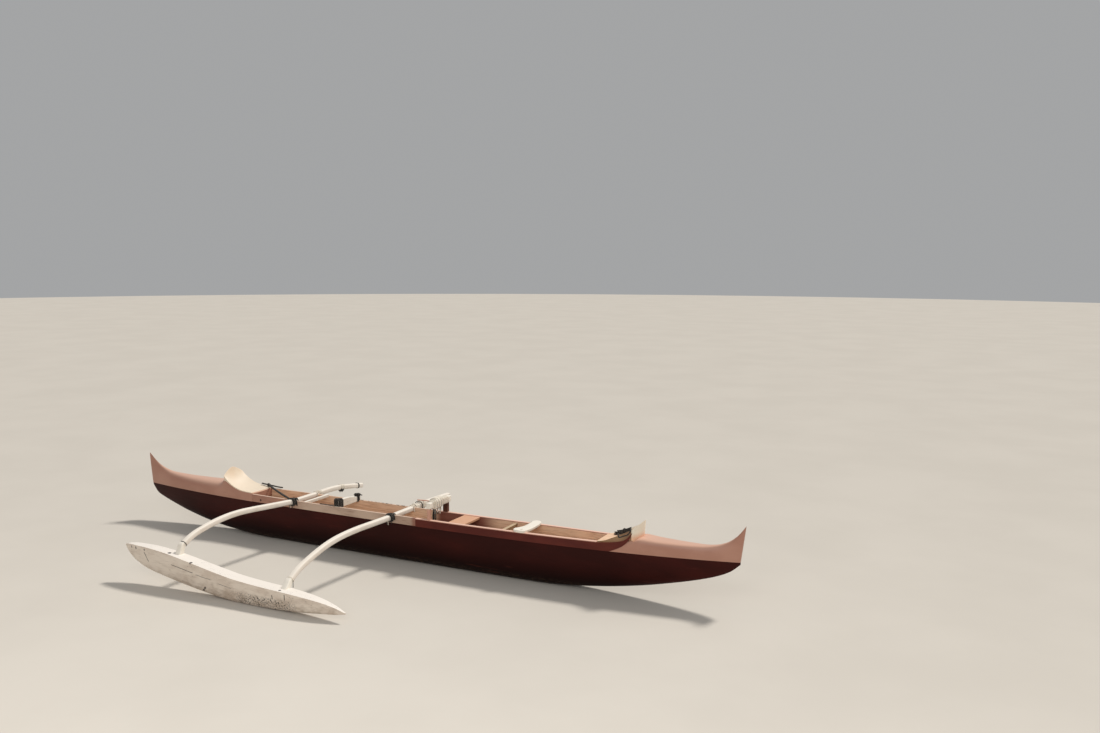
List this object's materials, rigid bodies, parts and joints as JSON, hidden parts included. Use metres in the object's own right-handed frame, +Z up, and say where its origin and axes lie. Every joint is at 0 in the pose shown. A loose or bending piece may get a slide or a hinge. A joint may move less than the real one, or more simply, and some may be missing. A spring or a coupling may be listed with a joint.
{
  "type": "outrigger canoe",
  "caption": "Narrow wooden canoe with upswept decked ends, scoop splash guards and arched booms lashed to a float on its port side.",
  "frame": {"origin": "on the floor, at the middle of the flat strip along the keel", "axes": "+X along the hull towards the stern, +Z up, and the float on the -Y side"},
  "size_m": [7.4009, 2.849, 0.812],
  "materials": {
    "hull": "satin dark maroon paint",
    "ends": "satin tan-pink paint",
    "strake": "satin tan paint, worn",
    "redwood": "satin red-brown paint",
    "cap": "satin light pink paint",
    "cream": "satin cream paint",
    "white": "weathered off-white paint",
    "seat": "satin light orange-brown paint",
    "brown": "bare dark wood",
    "cordage": "black cord",
    "twine": "pale twine"
  },
  "bodies": {
    "root": {"hull_shell": "hull", "bow_end": "ends", "stern_end": "ends", "bow_guard": "cream", "stern_guard": "cream", "fore_board_port": "strake", "fore_board_starboard": "strake", "aft_board_port": "redwood", "aft_board_starboard": "redwood", "cap_rail_port": "cap", "cap_rail_starboard": "cap", "float": "white", "boom_fore": "cream", "boom_aft": "cream", "float_post_fore": "white", "float_post_aft": "white", "foot_lashing_fore": "cordage", "foot_lashing_aft": "cordage", "port_lashing_fore": "cordage", "port_lashing_aft": "cordage", "starboard_lashing_fore": "twine", "starboard_lashing_aft": "twine", "tip_lashing_fore": "cordage", "end_strap_fore": "cordage", "tip_lashing_aft": "twine", "fore_spreader": "cream", "fore_crossbeam": "cream", "middle_seat": "seat", "aft_thwart": "seat", "bow_seat": "seat", "stern_seat": "seat", "rail_thwart": "white", "raised_post_port": "cap", "raised_post_starboard": "brown", "raised_crossbeam": "white", "crossbeam_wrap_port": "cordage", "crossbeam_wrap_starboard": "cordage", "raised_wrap": "twine", "drawn_cord": "cordage", "rope_hank": "cordage"}
  },
  "joints": []
}
